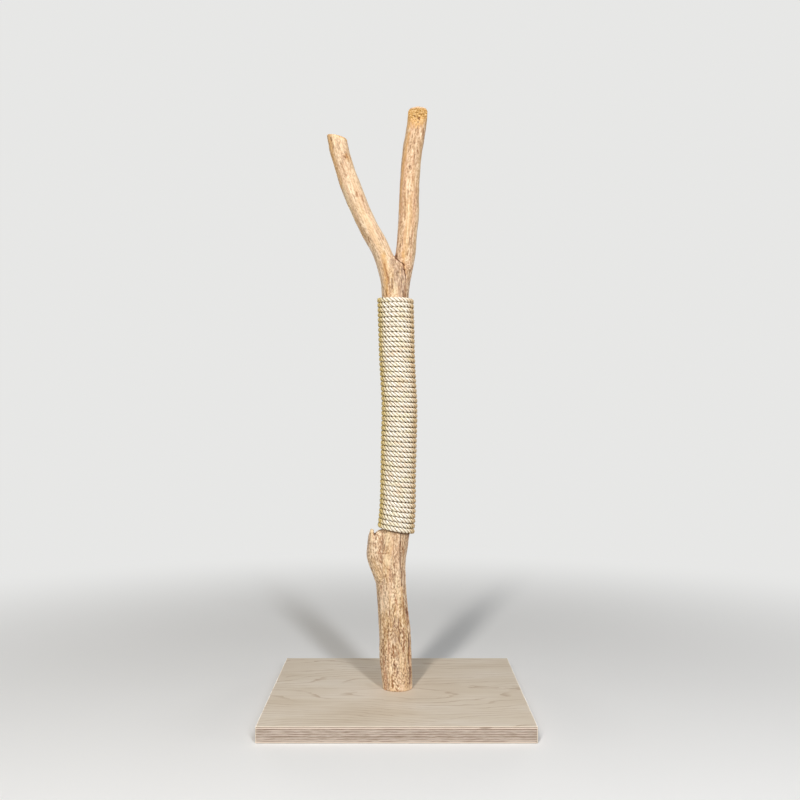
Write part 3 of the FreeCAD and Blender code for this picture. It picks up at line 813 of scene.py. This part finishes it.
class WoodSurface:
    """What the wood's surface does at each point: how far it moves out or in, and what the material shows."""

    FIELDS = (
        "crack_and_painted_shadow", "knot", "patch", "cut", "rim", "vein", "scar", "rough", "ridge", "stain", "light", "bark",
        "ochre", "pale",
    )

    def __init__(self, points):
        self.points = points
        self.x, _, self.z = points.T
        self.limbs = {name: limb_frame(points, name) for name in LIMBS}
        nearness = np.array([1 / (limb["miss"] + 0.04) ** 4 for limb in self.limbs.values()])
        self.share = dict(zip(LIMBS, nearness / nearness.sum(0)))
        self.front = sum(self.share[name] * limb["north"] for name, limb in self.limbs.items()) < 0
        self.move = np.zeros(len(points))
        self.turned = {name: np.zeros(len(points)) for name in LIMBS}
        self.lengthened = {name: limb["length"].copy() for name, limb in self.limbs.items()}
        self.fields = {name: np.zeros(len(points)) for name in self.FIELDS}

    def show(self, field, values):
        self.fields[field] = np.maximum(self.fields[field], values)

    def on(self, name):
        return smoothstep(0.3, 0.6, self.share[name])

    def add_knots(self):
        """Swellings with a sunken eye, which the grain flows round."""
        for name, height, degrees, eye, swelling in KNOTS:
            limb = self.limbs[name]
            side = angle_from(limb, degrees) * limb["radius"]
            up = (self.z - height) * 0.75
            reach = np.hypot(side, up) + 1e-6
            self.move += self.on(name) * swelling * bell(reach, 2.6 * eye)
            self.move -= self.on(name) * 0.5 * swelling * bell(reach - 1.15 * eye, 0.35 * eye)
            self.move -= self.on(name) * 0.9 * swelling * bell(reach, 0.45 * eye)
            ragged = reach * (1 + 0.5 * noise_at(self.points * 0.35 + 3.0))
            shown = np.maximum(bell(ragged, 0.6 * eye), 0.35 * bell(ragged - 1.2 * eye, 0.3 * eye))
            self.show("knot", self.on(name) * shown)
            flow = np.where(reach > eye, -side * (eye / reach) ** 2, (eye - reach) * 0.8 - side)
            self.turned[name] += flow / limb["radius"] * bell(reach, 5 * eye)
            inside = 1 - smoothstep(0.8 * eye, 1.3 * eye, reach)
            self.lengthened[name] -= inside * (self.z - height)

    def add_cracks(self):
        """Drying cracks round the sides and the back, which wander and end in points."""
        meander = 1.3 * noise_at(self.points * (0.02, 0.02, 0.11))
        meander += 0.6 * noise_at(self.points * (0.05, 0.05, 0.3) + 5.0)
        for name, line, half_width, depth in CRACKS:
            limb = self.limbs[name]
            first = line[0][1]
            way = [(math.radians(degrees - first) * limb["radius"], height) for height, degrees in line]
            side = angle_from(limb, first) * limb["radius"] + meander
            distance, share, _ = line_distance(side, self.z, way)
            pointed = np.sqrt(np.clip(4 * share * (1 - share), 0, 1))
            groove = self.on(name) * pointed * bell(distance, half_width)
            self.move -= depth * groove
            self.show("crack_and_painted_shadow", groove)

    def add_painted_rope_shadow(self):
        """A painted shadow: a dark line on the wood just under the rope's last turn."""
        stem = self.limbs["stem"]
        turn = np.remainder(np.arctan2(stem["north"], stem["east"]) - math.pi / 2, 2 * math.pi)
        last, _ = rope_points(TURNS - 1 + turn / (2 * math.pi))
        below = self.z - (last[:, 2] - ROPE_DIAMETER / 2 - 1.4)
        self.show("crack_and_painted_shadow", 0.95 * bell(below, 1.5) * (self.share["stem"] > 0.5))

    def add_seams(self):
        """Where the right branch grows out from under the left one, one side stands over the other."""
        fork = smoothstep(0.02, 0.2, self.share["stem"] + self.share["left"] + self.share["right"])
        wander = np.clip(1 + 1.4 * noise_at(self.points * 0.16 + 17.0), 0.5, 2.0)
        for on_front, line in SEAMS:
            distance, share, beyond = line_distance(self.x, self.z, line)
            here = fork * (self.front == on_front) * smoothstep(1.0, 0.85, share)
            groove = here * flat_bell(distance * wander, SEAM_HALF_WIDTH) * (0.75 + 0.25 / wander)
            above = (beyond < 0) == on_front
            lip = SEAM_LIP * bell(distance, SEAM_LIP_REACH) * np.where(above, 1.0, -0.5)
            self.move += here * lip - SEAM_DEPTH * groove
            beside = np.where(above, 1.0, 0.35) * smoothstep(-0.5, 0.2, noise_at(self.points * 0.25))
            self.show("ridge", here * bell(distance, SEAM_LIP_REACH * 0.8) * beside)
            self.show("crack_and_painted_shadow", groove)

    def add_front_marks(self):
        ragged = 1 + 0.4 * noise_at(self.points * 0.4 + 11.0)
        broken = smoothstep(-0.7, 0.0, noise_at(self.points * 0.22 + 23.0))
        for kind, marks in FRONT_MARKS.items():
            for line, half_width, depth in marks:
                xs, zs = zip(*line)
                room = MARK_ROOM * half_width
                near = self.front & (self.x > min(xs) - room) & (self.x < max(xs) + room)
                near &= (self.z > min(zs) - room) & (self.z < max(zs) + room)
                distance, _, _ = line_distance(self.x[near], self.z[near], line)
                whole = FRONT_WHOLE.get(kind, 0.0)
                shown = np.maximum(broken[near], whole) * bell(distance * ragged[near], half_width)
                self.fields[kind][near] = np.maximum(self.fields[kind][near], shown)
                self.move[near] -= depth * shown

    def add_scars(self):
        for name, height, degrees, half_height, half_width in SCARS:
            limb = self.limbs[name]
            side = angle_from(limb, degrees) * limb["radius"]
            near = np.hypot(side / half_width, (self.z - height) / half_height)
            self.show("scar", self.on(name) * (1 - smoothstep(0.55, 1.0, near)))
            self.move += self.on(name) * (0.9 * bell(near, 0.8) - 0.5 * bell(near - 1.05, 0.14))

    def add_patches(self):
        ragged = smoothstep(-0.35, 0.1, noise_at(self.points * 0.16))
        bumps = noise_at(self.points * 0.33)
        for height, degrees, half_height, half_width in PATCHES:
            side = angle_from(self.limbs["stem"], degrees) * self.limbs["stem"]["radius"]
            near = np.hypot(side / half_width, (self.z - height) / half_height)
            self.show("patch", ragged * (1 - smoothstep(0.5, 1.15, near)))
        self.move += self.fields["patch"] * (0.9 * bumps - 0.3)

    def add_cuts(self):
        """The sawn faces, and the stains that run down from them. The marks so far end at a sawn face."""
        ragged = noise_at(self.points * (0.3, 0.3, 0.1) + 2.0)
        for name in CUTS:
            beyond, near = from_cut(self.points, name)
            if name == "stump":
                self.show("bark", near * 0.6 * smoothstep(-1.1, -0.3, beyond + 0.5 * ragged))
                continue
            self.show("cut", near * smoothstep(-1.1, -0.3, beyond + 0.5 * ragged))
            north = self.limbs[name]["north"]
            run = CUT_STAINS[name] * (0.8 + 0.8 * ragged)
            self.show("ochre", near * 0.9 * smoothstep(-run - 3, -0.3 * run, beyond))
            if name == "right":
                worn = smoothstep(-0.7 * run, -0.1 * run, beyond) * smoothstep(12, -4, north)
                self.show("cut", near * 0.72 * worn)
            rim = smoothstep(20, 24, np.hypot(self.limbs[name]["east"], north) + 0.5 * north)
            self.show("rim", near * np.maximum(rim, 0.7 * (name == "left")))
        saw = 0.15 * noise_at(self.points * (0.1, 0.5, 0.5))
        sawn = smoothstep(0.8, 1.0, self.fields["cut"])
        self.move = self.move * (1 - sawn) + saw * sawn

    def add_grain(self):
        """Long flutes, ridges and threads along each limb, and the thin dark veins between them."""
        east = np.zeros(len(self.points))
        north = np.zeros(len(self.points))
        length = np.zeros(len(self.points))
        for name, limb in self.limbs.items():
            cos = np.cos(self.turned[name])
            sin = np.sin(self.turned[name])
            east += self.share[name] * (limb["east"] * cos - limb["north"] * sin)
            north += self.share[name] * (limb["east"] * sin + limb["north"] * cos)
            length += self.share[name] * self.lengthened[name]
        grain = np.stack([east, north, length], 1)
        wear = np.interp(self.z, *np.array(WEAR).T)
        flutes = noise_at(grain * (0.075, 0.075, 0.006))
        ridges = noise_at(grain * (0.20, 0.20, 0.016) + 7.0)
        threads = noise_at(grain * (0.45, 0.45, 0.07) + 19.0)
        lumps = noise_at(self.points * 0.05 + 31.0)
        broken = smoothstep(-0.25, 0.25, noise_at(grain * (0.06, 0.06, 0.03) + 43.0))
        long_veins = bell(flutes, 0.035) * broken
        fine_veins = bell(ridges, 0.05) * smoothstep(-0.1, 0.3, noise_at(grain * (0.1, 0.1, 0.06) + 57.0))
        smooth = (1 - self.fields["cut"]) * (1 - 0.85 * self.fields["scar"])
        self.show("vein", np.maximum(long_veins, 0.7 * fine_veins) * (0.25 + 0.75 * wear) * smooth)
        self.show("rough", wear * smooth)
        relief = 0.9 * flutes + 0.5 * lumps + (0.25 + 0.5 * wear) * ridges + (0.1 + 0.4 * wear) * threads
        relief -= (0.3 + 0.7 * wear) * (0.8 * long_veins + 0.4 * fine_veins)
        self.move += relief * smooth
        self.fields["grain"] = grain * MM

    def add_paleness(self):
        stem = np.interp(self.z, *np.array(STEM_PALE).T)
        self.show("pale", self.share["stem"] * stem + sum(self.share[name] * PALE[name] for name in PALE))
        self.show("ridge", RIGHT_TAN * self.share["right"])


def even_wood():
    """The CAD trunk as one evenly divided mesh, coarser where the rope hides it."""
    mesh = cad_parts["trunk"].data.copy()
    work = bmesh.new()
    work.from_mesh(mesh)
    bmesh.ops.remove_doubles(work, verts=work.verts, dist=0.01 * MM)
    work.to_mesh(mesh)
    work.free()
    piece = new_object("trunk_wood", mesh)
    remesh = piece.modifiers.new("even", "REMESH")
    remesh.mode = "VOXEL"
    remesh.voxel_size = VOXEL * MM
    apply_modifiers(piece)
    hidden = piece.vertex_groups.new(name="under_rope")
    levels = points_of(piece.data)[:, 2]
    low, high = HIDDEN_LEVELS
    hidden.add(np.nonzero((levels > low) & (levels < high))[0].tolist(), 1.0, "REPLACE")
    thin = piece.modifiers.new("thin", "DECIMATE")
    thin.ratio = HIDDEN_KEPT
    thin.vertex_group = "under_rope"
    apply_modifiers(piece)
    piece.vertex_groups.clear()
    return piece


def apply_modifiers(piece):
    graph = bpy.context.evaluated_depsgraph_get()
    mesh = bpy.data.meshes.new_from_object(piece.evaluated_get(graph), depsgraph=graph)
    piece.modifiers.clear()
    piece.data = mesh


def soften(piece, mask, steps):
    """Smooths a mesh where the mask is over 0."""
    mesh = piece.data
    ends = np.empty(len(mesh.edges) * 2, int)
    mesh.edges.foreach_get("vertices", ends)
    ends = ends.reshape(-1, 2)
    ends = ends[(mask[ends] > 0).any(1)]
    points = points_of(mesh)
    neighbours = np.maximum(np.bincount(ends.ravel(), minlength=len(points)), 1)[:, None]
    for _ in range(steps):
        sums = np.empty_like(points)
        for axis in range(3):
            sums[:, axis] = np.bincount(ends[:, 0], points[ends[:, 1], axis], len(points))
            sums[:, axis] += np.bincount(ends[:, 1], points[ends[:, 0], axis], len(points))
        points += (sums / neighbours - points) * mask[:, None]
    set_points(mesh, points)


def refine(piece, wanted):
    """Divides the mesh once more between the wanted vertices."""
    work = bmesh.new()
    work.from_mesh(piece.data)
    work.verts.ensure_lookup_table()
    edges = [edge for edge in work.edges if wanted[edge.verts[0].index] and wanted[edge.verts[1].index]]
    bmesh.ops.subdivide_edges(work, edges=edges, cuts=1, use_grid_fill=True)
    work.to_mesh(piece.data)
    work.free()


def marked_wood(points):
    """The surface with all that needs a finer mesh."""
    wood = WoodSurface(points)
    wood.add_knots()
    wood.add_cracks()
    wood.add_painted_rope_shadow()
    wood.add_seams()
    wood.add_front_marks()
    wood.add_patches()
    return wood


def blend_limbs(piece):
    """Smooths the mesh a little, and more where limbs meet, but not at the foot."""
    points = points_of(piece.data)
    fork = bell(np.linalg.norm(points - FORK_MIDDLE, axis=1), BLEND_REACH)
    stump = bell(np.linalg.norm((points - STUMP_MIDDLE) * (1, 1, 0.7), axis=1), BLEND_REACH)
    foot = smoothstep(30.4, 33, points[:, 2])
    all_over = 0.15 - 0.12 * smoothstep(1105, 1120, points[:, 2])
    soften(piece, np.clip(fork + stump + all_over, 0, 1) * 0.5 * foot, 24)


def wear_right_tip(piece):
    """Points with the front of the right tip rounded between its two shoulders, which stand higher."""
    points = points_of(piece.data)
    place, facing = CUTS["right"]
    offsets = points - np.array(place)
    worn_end = (np.linalg.norm(offsets, axis=1) < 32) * flat_bell(np.abs(offsets @ np.array(facing)), 9)
    soften(piece, worn_end * 0.5 * smoothstep(-2, -12, offsets[:, 1]), 40)
    points = points_of(piece.data)
    points[:, 2] += SHOULDER_LIFT * worn_end * smoothstep(7, 18, np.abs(offsets[:, 0]))
    return points


def notch_stump(points):
    """Carves the notch in the stump's top and lays its sawn face flat."""
    aside = points[:, 0] - STUMP_NOTCH_X
    notch = bell(aside, np.where(aside < 0, 2.6, 6.0)) * smoothstep(326, 344, points[:, 2])
    on_stump = (points[:, 0] < -30) * (points[:, 2] < 352)
    points[:, 2] -= STUMP_NOTCH * notch * on_stump
    beyond, near = from_cut(points, "stump")
    points -= unit(np.array(CUTS["stump"][1])) * (np.maximum(beyond, 0) * near)[:, None]


def make_trunk():
    piece = even_wood()
    blend_limbs(piece)
    points = wear_right_tip(piece)
    notch_stump(points)
    set_points(piece.data, points)

    marks = marked_wood(points).fields
    detail = np.maximum.reduce([marks["crack_and_painted_shadow"], marks["knot"], marks["patch"], 0.5 * marks["stain"]])
    refine(piece, detail > 0.08)

    points = points_of(piece.data)
    wood = marked_wood(points)
    wood.add_scars()
    wood.add_cuts()
    wood.add_grain()
    wood.add_paleness()
    settled = smoothstep(30.2, 32.5, points[:, 2])
    points += normals_of(piece.data) * (wood.move * settled)[:, None]
    set_points(piece.data, points)
    piece.data.shade_smooth()
    for name, values in wood.fields.items():
        keep_values(piece, name, values)
    dress(piece, wood_finish())
    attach(piece, "root")
    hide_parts("trunk")


# ---- rope ----

def tail_shift(turns):
    left = np.maximum(0.0, 1 - turns / TAIL_TURNS)
    return TAIL_SHIFT * left ** 2


def noise_along(x, y, z):
    """Noise at points along the rope, where a coordinate is a row of numbers or the same for all of them."""
    return noise_at(np.stack(np.broadcast_arrays(x, y, z), 1))


def rope_points(turns):
    """Points of the rope's centre line at turn counts from the upper end, and the wood's centre there."""
    level = ROPE_TOP - ROPE_PITCH * turns
    angle = math.pi / 2 + 2 * math.pi * turns
    x, y, wood_radius, _ = along(STEM, level)
    radius = wood_radius + ROPE_TO_WOOD + ROPE_DIAMETER / 2
    tilt = TILT_TOP + (TILT_BOTTOM - TILT_TOP) * (turns / TURNS) ** 2
    shift = tail_shift(turns) - tail_shift(TURNS - turns)
    east = radius * np.cos(angle)
    north = radius * np.sin(angle)
    points = np.stack([x + east, y + north, level - tilt * east + shift], 1)
    axis = np.stack([x, y, points[:, 2]], 1)
    return points, axis


def rope_frame():
    """Rings along the rope's centre line: place, directions, length so far and to the end, and drift."""
    turns = np.linspace(0, TURNS, TURNS * RINGS_PER_TURN + 1)
    points, axis = rope_points(turns)
    ahead = unit(np.gradient(points, axis=0))
    outward = points - axis
    outward = unit(outward - ahead * (outward * ahead).sum(1)[:, None])
    steps = np.linalg.norm(np.diff(points, axis=0), axis=1)
    length = np.concatenate([[0.0], np.cumsum(steps)])
    to_end = np.minimum(length, length[-1] - length)
    lift = END_LIFT * bell(to_end - END_LIFT_AT, END_LIFT_REACH)
    sway = 0.35 * noise_along(length / 40, 2.5, 0.0)
    drift = 0.5 * noise_along(length / 90, 8.5, 0.0)
    across = np.cross(ahead, outward)
    points = points + outward * lift[:, None] + across * sway[:, None]
    return {
        "place": points, "ahead": ahead, "outward": outward, "across": across, "length": length,
        "to_end": to_end, "drift": drift,
    }


def strand_surface(rope, strand, rings):
    """A strand at ring numbers: directions to its crest and flank, its radius, and its centre's offset."""
    to_end = rope["to_end"][rings]
    lay = 2 * math.pi * (rope["length"][rings] / LAY + strand / STRANDS) + rope["drift"][rings]
    cos = np.cos(lay)[:, None]
    sin = np.sin(lay)[:, None]
    outward = rope["outward"][rings]
    across = rope["across"][rings]
    crest = outward * cos + across * sin
    flank = across * cos - outward * sin
    cap = np.sqrt(np.clip(1 - np.maximum(0, 1 - to_end / 1.8) ** 2, 0.02, 1))
    pinch = 1 - sum(PINCH * bell(to_end - distance, 4.0) for distance in STAPLE_DISTANCES)
    splay = 0.9 * bell(to_end, 5.0)
    radius = STRAND_RADIUS * cap * pinch
    centre = STRAND_CENTRE * pinch + splay
    return crest, flank, radius, centre


def make_strand(rope, strand, material):
    """One of the three strands, from end to end of the rope."""
    length = rope["length"]
    rings = np.arange(len(length))
    crest, flank, radius, centre = strand_surface(rope, strand, rings)
    reach = math.radians(STRAND_REACH)
    angles = np.linspace(-reach, reach, STRAND_POINTS)
    sections = len(angles) + 1
    points = np.empty((len(rings), sections, 3))
    fibre = np.empty((len(rings), sections, 3))
    groove = np.empty((len(rings), sections))
    base = rope["place"] + rope["ahead"] * end_offset(rope, strand)[:, None]
    for j, angle in enumerate(angles):
        relief = 1 + 0.05 * noise_along(angle * 1.6, length / 14, 3.7 * strand)
        a = centre + radius * relief * math.cos(angle)
        b = radius * relief * math.sin(angle)
        limit = np.maximum(a, 0.05) * math.tan(math.radians(60))
        b = np.clip(b, -limit, limit)
        points[:, j] = base + crest * a[:, None] + flank * b[:, None]
        fibre[:, j, 0] = angle * STRAND_RADIUS + FIBRE_SLOPE * length
        # Painted shade: the groove value rises where a strand dips towards its neighbours and where it leans
        # over the next turn.
        groove[:, j] = smoothstep(math.radians(58), math.radians(100), abs(angle))
        offsets = points[:, j] - rope["place"]
        leaning = np.abs((offsets * rope["across"]).sum(1))
        standing = np.maximum((offsets * rope["outward"]).sum(1), 0.5)
        groove[:, j] = np.maximum(groove[:, j], 0.8 * smoothstep(1.4, 3.4, leaning / standing))
    points[:, -1] = base + crest * 0.1
    points = square_up(rope, points)
    fibre[:, -1, 0] = fibre[:, -2, 0]
    fibre[:, :, 1] = length[:, None]
    fibre[:, :, 2] = strand / MM
    groove[:, -1] = 1
    faces = tube_faces(len(rings), sections)
    piece = new_mesh(f"sisal_strand_{strand + 1}", points.reshape(-1, 3), faces, material)
    keep_values(piece, "fibre", fibre.reshape(-1, 3) * MM)
    keep_values(piece, "groove", groove.ravel())
    # Painted shade on the rope's flanks: strongest on the sides, none at the front and less at the back.
    facing_back = np.repeat(rope["outward"][:, 1], sections)
    beside = smoothstep(-0.90, -0.42, facing_back) * (1 - 0.85 * smoothstep(-0.05, 0.50, facing_back))
    keep_values(piece, "painted_side_shade", beside)
    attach(piece, "root")
    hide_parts("sisal_rope_upper", "sisal_rope_lower")


def square_up(rope, points):
    """Turns press on each other, so that the rope's section is squarer than a circle."""
    offsets = points - rope["place"][:, None]
    out = (offsets * rope["outward"][:, None]).sum(2)
    side = (offsets * rope["across"][:, None]).sum(2)
    size = np.hypot(out, side) + 1e-9
    corner = (np.abs(out / size) ** SQUARENESS + np.abs(side / size) ** SQUARENESS) ** (-1 / SQUARENESS)
    grow = (corner - 1) * smoothstep(2.0, 12.0, rope["to_end"])[:, None]
    out_way = rope["outward"][:, None] * out[..., None]
    side_way = rope["across"][:, None] * side[..., None]
    return points + (out_way + side_way) * grow[..., None]


def end_offset(rope, strand):
    """The strands are cut a little unevenly at both ends of the rope."""
    upper = rope["length"] < rope["length"][-1] / 2
    outwards = np.where(upper, -1.0, 1.0)
    return outwards * bell(rope["to_end"], 5.0) * (0.4 + 1.1 * strand)


def tube_faces(rings, sections):
    """Quads between rings of points, and a face over each end."""
    faces = []
    for i in range(rings - 1):
        start = i * sections
        for j in range(sections):
            k = (j + 1) % sections
            faces.append((start + j, start + sections + j, start + sections + k, start + k))
    faces.append(tuple(range(sections)))
    faces.append(tuple(range((rings - 1) * sections, rings * sections))[::-1])
    return faces


def make_fibres(rope):
    """Loose fibres that stand off the rope, and a tuft at each of its ends."""
    draw = np.random.default_rng(SEED)
    count = len(rope["length"])
    tube = tube_faces(FIBRE_RINGS, FIBRE_SIDES)
    shares = np.linspace(0, 1, FIBRE_RINGS)
    points = []
    faces = []

    def add(start, way, bend, length, thickness):
        line = start + way * (shares * length)[:, None] + bend * ((shares * length) ** 2)[:, None]
        side = unit(np.cross(way, bend + 1e-4))
        other = np.cross(way, side)
        first = len(points)
        for centre, share in zip(line, shares):
            radius = thickness * (1 - 0.7 * share)
            for k in range(FIBRE_SIDES):
                angle = 2 * math.pi * k / FIBRE_SIDES
                points.append(centre + radius * (math.cos(angle) * side + math.sin(angle) * other))
        for face in tube:
            faces.append(tuple(first + corner for corner in face))

    while len(faces) < FIBRES * len(tube):
        ring = int(draw.integers(20, count - 20))
        strand = int(draw.integers(STRANDS))
        angle = draw.uniform(-1.3, 1.3)
        crest, flank, radius, centre = (part[0] for part in strand_surface(rope, strand, np.array([ring])))
        normal = crest * math.cos(angle) + flank * math.sin(angle)
        if normal @ rope["outward"][ring] < 0.25:
            continue
        start = rope["place"][ring] + crest * centre + normal * (radius - 0.25)
        way = unit(rope["ahead"][ring] * draw.choice([-1, 1]) + flank * draw.normal(0, 0.35)
                   + normal * draw.uniform(0.12, 0.75))
        bend = draw.normal(0, 0.016, 3) + (0, 0, -0.006)
        add(start, way, bend, draw.uniform(*FIBRE_LENGTHS), draw.uniform(*FIBRE_RADII))
    for ring, sign in ((0, -1), (count - 1, 1)):
        for _ in range(TUFT_FIBRES):
            spot = draw.uniform(0, 2 * math.pi)
            spread = draw.uniform(0, 3.6)
            aside = rope["outward"][ring] * math.cos(spot) + rope["across"][ring] * math.sin(spot)
            start = rope["place"][ring] + aside * spread - rope["ahead"][ring] * sign
            way = unit(rope["ahead"][ring] * sign + aside * draw.uniform(0, 0.5) + draw.normal(0, 0.12, 3))
            add(start, way, draw.normal(0, 0.012, 3), draw.uniform(*TUFT_LENGTHS), draw.uniform(*TUFT_RADII))
    piece = new_mesh("sisal_loose_fibres", points, faces, fibre_finish())
    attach(piece, "root")


def make_rope():
    rope = rope_frame()
    material = sisal_finish()
    for strand in range(STRANDS):
        make_strand(rope, strand, material)
    make_fibres(rope)


# ---- pieces kept from the CAD ----

def dress_cad_pieces():
    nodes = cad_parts
    dress(nodes["base_plate"], plywood_finish())
    zinc = steel_finish("zinc_steel", (208, 210, 212), (168, 171, 174), 0.32)
    for node in ("coach_screw", "coach_screw_washer", "side_screw_left", "side_screw_right"):
        dress(nodes[node], zinc)
    wire = steel_finish("staple_steel", (200, 201, 203), (150, 152, 155), 0.25)
    for end in ("top", "bottom"):
        for side in ("outer", "inner"):
            dress(nodes[f"rope_staple_{end}_{side}"], wire)


# ---- stage, light and camera ----

# Linear colours: the backdrop, the floor as it is seen and as it throws light back, and the even light.
BACKDROP = (0.80, 0.80, 0.79, 1.0)
FLOOR_SEEN = (0.90, 0.90, 0.89, 1.0)
FLOOR_BOUNCE = (0.30, 0.28, 0.22, 1.0)
AMBIENT = (1.0, 0.95, 0.72, 1.0)
AMBIENT_STRENGTH = 0.04

# The floor turns into the backdrop between these distances from the middle, in metres.
FLOOR_NEAR = 0.5
FLOOR_FAR = 2.2
FLOOR_HALF = 40
FLOOR_DROP = 0.00005        # below the plate's underside

# Lamps: name, degrees to the right of the camera, distance, height, width, length, power and colour.
LAMPS = [
    ("lamp_left", -14, 3.2, 2.4, 0.22, 2.8, 102, (1.0, 0.97, 0.94)),
    ("lamp_right", 17, 3.2, 2.4, 0.22, 2.8, 86, (0.92, 0.95, 1.0)),
    ("fill_left", -72, 3.2, 0.5, 1.4, 1.0, 12, (1.0, 0.96, 0.90)),
    ("fill_right", 68, 3.2, 0.5, 1.4, 1.0, 22, (1.0, 0.96, 0.93)),
    ("lamp_back_left", -150, 5.0, 0.3, 2.0, 0.6, 100, (1.0, 0.97, 0.94)),
    ("lamp_back_right", 150, 5.0, 0.3, 2.0, 0.6, 100, (0.96, 0.97, 1.0)),
]
LAMPS_AIM = (0, 0, 0.6)


def make_floor():
    f = Finish("pale_floor", Roughness=0.9, Specular_IOR_Level=0.1)
    x, y, _ = f.parts(f.position())
    away = f.between(f.math("SQRT", f.plus(f.times(x, x), f.times(y, y))), FLOOR_NEAR, FLOOR_FAR)
    seen = f.seen_rays()
    f.put(f.shader.inputs["Base Color"], f.mix(seen, FLOOR_BOUNCE, FLOOR_SEEN))
    glow = f.node("Emission", Color=BACKDROP, Strength=1.0).outputs["Emission"]
    surface = f.mix_shaders(f.times(away, seen), f.shader.outputs["BSDF"], glow)
    f.put(f.tree.nodes["Material Output"].inputs["Surface"], surface)
    half = FLOOR_HALF / MM
    low = -FLOOR_DROP / MM
    corners = [(-half, -half, low), (half, -half, low), (half, half, low), (-half, half, low)]
    new_mesh("floor", corners, [(0, 1, 2, 3)], f.material)


def make_world():
    """The backdrop for rays that look at it, and a weak even light for all others."""
    world = bpy.data.worlds.new("studio")
    bpy.context.scene.world = world
    world.use_nodes = True
    world.node_tree.nodes.clear()
    f = Nodes(world.node_tree)
    ambient = f.node("Background", Color=AMBIENT, Strength=AMBIENT_STRENGTH).outputs["Background"]
    shown = f.node("Background", Color=BACKDROP).outputs["Background"]
    f.node("OutputWorld", Surface=f.mix_shaders(f.seen_rays(), ambient, shown))


def make_lamp(name, azimuth, distance, height, width, length, power, colour):
    turn = math.radians(azimuth)
    lamp = bpy.data.lights.new(name, "AREA")
    lamp.shape = "RECTANGLE"
    lamp.size = width
    lamp.size_y = length
    lamp.energy = power
    lamp.color = colour
    item = new_object(name, lamp)
    item.location = (distance * math.sin(turn), -distance * math.cos(turn), height)
    item.visible_camera = False
    aim = Vector(LAMPS_AIM) - item.location
    item.rotation_euler = aim.to_track_quat("-Z", "Y").to_euler()


def make_camera():
    lens = bpy.data.cameras.new("camera")
    lens.lens = 45
    lens.sensor_width = 36
    lens.shift_x = 0.0014
    lens.shift_y = 0.0194
    camera = new_object("camera", lens)
    camera.location = (0.0041, -2.0155, 0.5794)
    camera.rotation_euler = (math.radians(90), 0, 0)
    bpy.context.scene.camera = camera


make_trunk()
make_rope()
dress_cad_pieces()
make_floor()
make_world()
for numbers in LAMPS:
    make_lamp(*numbers)
make_camera()
bpy.context.scene.view_settings.view_transform = "Standard"
